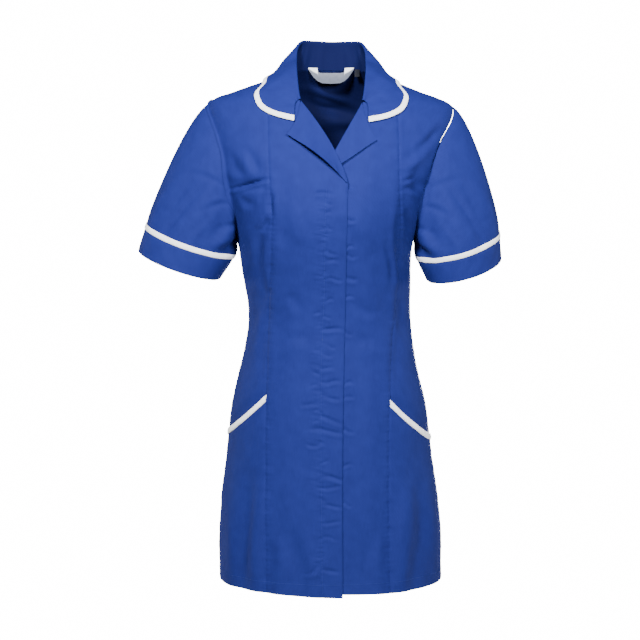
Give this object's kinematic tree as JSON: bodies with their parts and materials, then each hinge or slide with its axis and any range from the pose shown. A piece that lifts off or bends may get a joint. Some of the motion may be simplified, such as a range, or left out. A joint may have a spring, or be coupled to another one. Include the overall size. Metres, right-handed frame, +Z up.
{
  "type": "medical tunic",
  "caption": "Fitted short-sleeved work tunic, hollow as worn, with notched collar, revers, concealed front closing, slanted side pockets, and contrast binding on collar, sleeves and pockets.",
  "frame": {"origin": "middle of the neck opening, level with the neck ends of the two shoulder seams, where the wearer's shoulders hold the tunic up", "axes": "+Z up the garment, -Y out of its front, +X towards the wearer's left"},
  "size_m": [0.5535, 0.266, 0.8281],
  "materials": {
    "royal_blue_twill": "matt twill weave with a faint sheen",
    "white_binding": "matt bias binding, edge-stitched",
    "white_label": "smooth woven label tape, bare",
    "navy_label": "smooth woven label tape, bare"
  },
  "bodies": {
    "root": {"back": "royal_blue_twill", "front_right": "royal_blue_twill", "front_left": "royal_blue_twill", "side_front_right": "royal_blue_twill", "side_front_left": "royal_blue_twill", "pocket_front_right": "royal_blue_twill", "pocket_front_left": "royal_blue_twill", "pocket_binding_right": "white_binding", "pocket_binding_left": "white_binding", "revers_right": "royal_blue_twill", "revers_left": "royal_blue_twill", "collar": "royal_blue_twill", "collar_binding": "white_binding", "sleeve_right": "royal_blue_twill", "sleeve_left": "royal_blue_twill", "sleeve_binding_right": "white_binding", "sleeve_binding_left": "white_binding", "cuff_right": "royal_blue_twill", "cuff_left": "royal_blue_twill", "neck_label": "white_label", "size_tab": "navy_label"}
  },
  "joints": []
}
